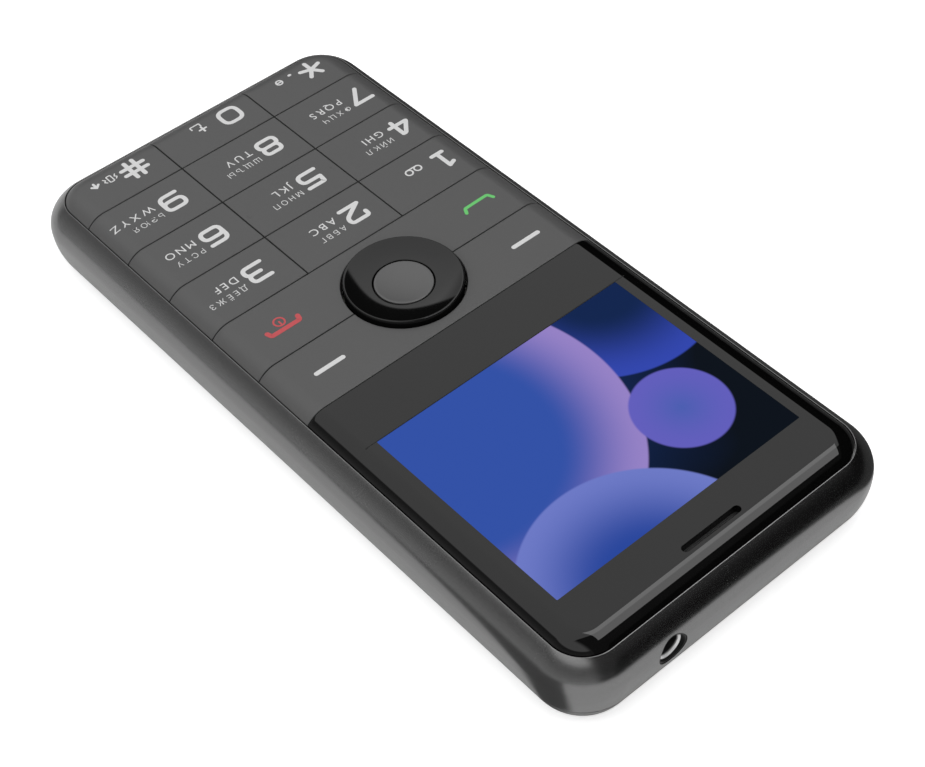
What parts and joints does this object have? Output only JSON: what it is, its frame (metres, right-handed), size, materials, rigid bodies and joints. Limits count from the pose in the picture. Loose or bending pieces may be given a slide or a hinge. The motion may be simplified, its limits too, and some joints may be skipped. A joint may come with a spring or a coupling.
{
  "type": "feature phone",
  "caption": "Bar-shaped mobile phone with a small display, a dished navigation ring and a full number keypad.",
  "frame": {"origin": "middle of the flat back, on the surface that the phone lies on", "axes": "+X to the phone's right side seen from its face, +Y to the earpiece end, +Z out of the screen"},
  "size_m": [0.0602, 0.1256, 0.0148],
  "materials": {
    "housing": "satin dark grey paint",
    "cover": "satin dark grey",
    "window": "clear acrylic over a black border",
    "keys": "fine satin",
    "ring": "satin black",
    "button": "satin grey",
    "mesh": "dark woven steel",
    "speaker": "black",
    "foam": "black foam",
    "display_glass": "lit display",
    "light_guide": "white frame",
    "sheet_steel": "tinned sheet",
    "rubber": "translucent grey",
    "film": "clear film over metal domes",
    "circuit_board": "green solder resist",
    "black_plastic": "black moulded",
    "battery_case": "silver wrap",
    "screw_steel": "zinc plated",
    "nickel": "nickel plated",
    "copper": "gilded foil",
    "camera_glass": "clear with a dark ring"
  },
  "bodies": {
    "phone": {"front_housing": "housing", "display_window": "window", "earpiece_mesh": "mesh", "earpiece_receiver": "speaker", "display_gasket": "foam", "lcd_panel": "display_glass", "backlight_unit": "light_guide", "lcd_tray": "sheet_steel", "keypad_web": "rubber", "dome_sheet": "film", "main_board": "circuit_board", "radio_shield": "sheet_steel", "processor_shield": "sheet_steel", "sim_socket": "sheet_steel", "memory_card_socket": "sheet_steel", "battery_connector": "black_plastic", "rear_chassis": "black_plastic", "chassis_screws": "screw_steel", "audio_jack": "black_plastic", "audio_jack_sleeve": "nickel", "usb_shell": "nickel", "usb_tongue": "black_plastic", "microphone": "sheet_steel", "loudspeaker": "speaker", "vibration_motor": "sheet_steel", "antenna_carrier": "black_plastic", "antenna_foil": "copper", "camera_module": "black_plastic"},
    "key_1": {"key_1": "keys"},
    "key_2": {"key_2": "keys"},
    "key_3": {"key_3": "keys"},
    "key_4": {"key_4": "keys"},
    "key_5": {"key_5": "keys"},
    "key_6": {"key_6": "keys"},
    "key_7": {"key_7": "keys"},
    "key_8": {"key_8": "keys"},
    "key_9": {"key_9": "keys"},
    "key_star": {"key_star": "keys"},
    "key_0": {"key_0": "keys"},
    "key_hash": {"key_hash": "keys"},
    "soft_key_bar": {"soft_key_bar": "keys"},
    "call_key_bar": {"call_key_bar": "keys"},
    "navigation_pad": {"navigation_pad": "rubber"},
    "navigation_ring": {"navigation_ring": "ring"},
    "centre_button": {"centre_button": "button"},
    "rear_cover": {"rear_cover": "cover", "camera_window": "camera_glass", "speaker_mesh": "mesh"},
    "battery": {"battery": "battery_case"}
  },
  "joints": [
    {"name": "key_1_press", "type": "slide", "parent": "phone", "child": "key_1", "axis": [0, 0, -1], "range_m": [0, 0.00035], "stiffness_N_per_m": 4000},
    {"name": "key_2_press", "type": "slide", "parent": "phone", "child": "key_2", "axis": [0, 0, -1], "range_m": [0, 0.00035], "stiffness_N_per_m": 4000},
    {"name": "key_3_press", "type": "slide", "parent": "phone", "child": "key_3", "axis": [0, 0, -1], "range_m": [0, 0.00035], "stiffness_N_per_m": 4000},
    {"name": "key_4_press", "type": "slide", "parent": "phone", "child": "key_4", "axis": [0, 0, -1], "range_m": [0, 0.00035], "stiffness_N_per_m": 4000},
    {"name": "key_5_press", "type": "slide", "parent": "phone", "child": "key_5", "axis": [0, 0, -1], "range_m": [0, 0.00035], "stiffness_N_per_m": 4000},
    {"name": "key_6_press", "type": "slide", "parent": "phone", "child": "key_6", "axis": [0, 0, -1], "range_m": [0, 0.00035], "stiffness_N_per_m": 4000},
    {"name": "key_7_press", "type": "slide", "parent": "phone", "child": "key_7", "axis": [0, 0, -1], "range_m": [0, 0.00035], "stiffness_N_per_m": 4000},
    {"name": "key_8_press", "type": "slide", "parent": "phone", "child": "key_8", "axis": [0, 0, -1], "range_m": [0, 0.00035], "stiffness_N_per_m": 4000},
    {"name": "key_9_press", "type": "slide", "parent": "phone", "child": "key_9", "axis": [0, 0, -1], "range_m": [0, 0.00035], "stiffness_N_per_m": 4000},
    {"name": "key_star_press", "type": "slide", "parent": "phone", "child": "key_star", "axis": [0, 0, -1], "range_m": [0, 0.00035], "stiffness_N_per_m": 4000},
    {"name": "key_0_press", "type": "slide", "parent": "phone", "child": "key_0", "axis": [0, 0, -1], "range_m": [0, 0.00035], "stiffness_N_per_m": 4000},
    {"name": "key_hash_press", "type": "slide", "parent": "phone", "child": "key_hash", "axis": [0, 0, -1], "range_m": [0, 0.00035], "stiffness_N_per_m": 4000},
    {"name": "centre_button_press", "type": "slide", "parent": "phone", "child": "centre_button", "axis": [0, 0, -1], "range_m": [0, 0.00035], "stiffness_N_per_m": 4000},
    {"name": "soft_key_bar_rock", "type": "hinge", "parent": "phone", "child": "soft_key_bar", "pos_m": [0, -0.00635, 0.0116], "axis": [0, 1, 0], "range_deg": [-0.75, 0.75], "stiffness_Nm_per_rad": 2},
    {"name": "call_key_bar_rock", "type": "hinge", "parent": "phone", "child": "call_key_bar", "pos_m": [0, -0.00635, 0.0116], "axis": [0, 1, 0], "range_deg": [-0.75, 0.75], "stiffness_Nm_per_rad": 2},
    {"name": "navigation_tilt_left_right", "type": "hinge", "parent": "phone", "child": "navigation_pad", "pos_m": [0, -0.00635, 0.0116], "axis": [0, 1, 0], "range_deg": [-2.2, 2.2], "stiffness_Nm_per_rad": 0.5},
    {"name": "navigation_tilt_up_down", "type": "hinge", "parent": "navigation_pad", "child": "navigation_ring", "pos_m": [0, -0.00635, 0.0116], "axis": [1, 0, 0], "range_deg": [-2.2, 2.2], "stiffness_Nm_per_rad": 0.5},
    {"name": "rear_cover_off", "type": "slide", "parent": "phone", "child": "rear_cover", "axis": [0, 0, -1], "range_m": [0, 0.012]},
    {"name": "battery_out", "type": "slide", "parent": "phone", "child": "battery", "axis": [0, 0, -1], "range_m": [0, 0.006]}
  ],
  "couplings": [
    {"joint": "battery_out", "follows": "rear_cover_off", "ratio": 0.5}
  ]
}
